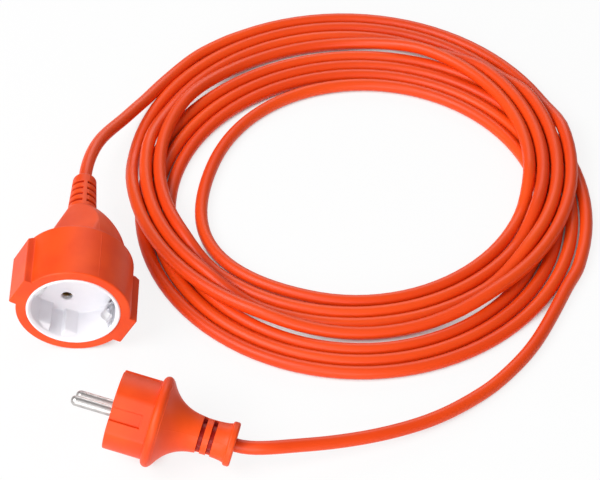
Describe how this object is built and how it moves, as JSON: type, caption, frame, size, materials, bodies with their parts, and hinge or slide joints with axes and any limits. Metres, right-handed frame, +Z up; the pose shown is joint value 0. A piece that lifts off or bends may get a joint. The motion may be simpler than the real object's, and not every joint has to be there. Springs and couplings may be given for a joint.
{
  "type": "extension cord",
  "caption": "Coiled earthed extension cord with a moulded plug at one end and a single round coupler at the other.",
  "frame": {"origin": "on the surface that the lead lies on, at the middle of the box round the coupler and the plug", "axes": "+Z up; +Y from the coupler's mouth along its axis towards the cord; +X to the right, towards the coil"},
  "size_m": [0.2831, 0.3182, 0.0542],
  "materials": {
    "moulding": "soft orange PVC, satin",
    "sheath": "smooth orange PVC sheath, satin",
    "insert": "white, slightly glossy",
    "carrier": "plain moulded",
    "contact": "bright pressed brass",
    "earth_metal": "nickel plated strip",
    "pin_metal": "nickel plated, polished",
    "bridge": "hard moulded block",
    "core_brown": "core insulation",
    "core_blue": "core insulation",
    "core_earth": "core insulation, green and yellow"
  },
  "bodies": {
    "lead": {"coupler_body": "moulding", "coupler_insert": "insert", "coupler_carrier": "carrier", "coupler_contact_a": "contact", "coupler_contact_b": "contact", "coupler_earth_strap": "earth_metal", "coupler_core_brown": "core_brown", "coupler_core_blue": "core_blue", "coupler_core_earth": "core_earth", "coupler_sheath_end": "sheath", "cord_coupler_lead": "sheath", "cord_coil": "sheath", "cord_plug_lead": "sheath", "plug_sheath_end": "sheath", "plug_core_brown": "core_brown", "plug_core_blue": "core_blue", "plug_core_earth": "core_earth", "plug_body": "moulding", "plug_bridge": "bridge", "plug_pin_a": "pin_metal", "plug_pin_b": "pin_metal", "plug_earth_strap": "earth_metal"},
    "earth_clip_a": {"coupler_earth_clip_a": "earth_metal"},
    "earth_clip_b": {"coupler_earth_clip_b": "earth_metal"}
  },
  "joints": [
    {"name": "earth_clip_a_flex", "type": "hinge", "parent": "lead", "child": "earth_clip_a", "pos_m": [-0.00777, 0.0128, 0.01675], "axis": [0.5, 0, 0.866], "range_deg": [0, 9], "stiffness_Nm_per_rad": 0.5},
    {"name": "earth_clip_b_flex", "type": "hinge", "parent": "lead", "child": "earth_clip_b", "pos_m": [-0.04363, 0.0128, 0.03745], "axis": [-0.5, 0, -0.866], "range_deg": [0, 9], "stiffness_Nm_per_rad": 0.5}
  ]
}
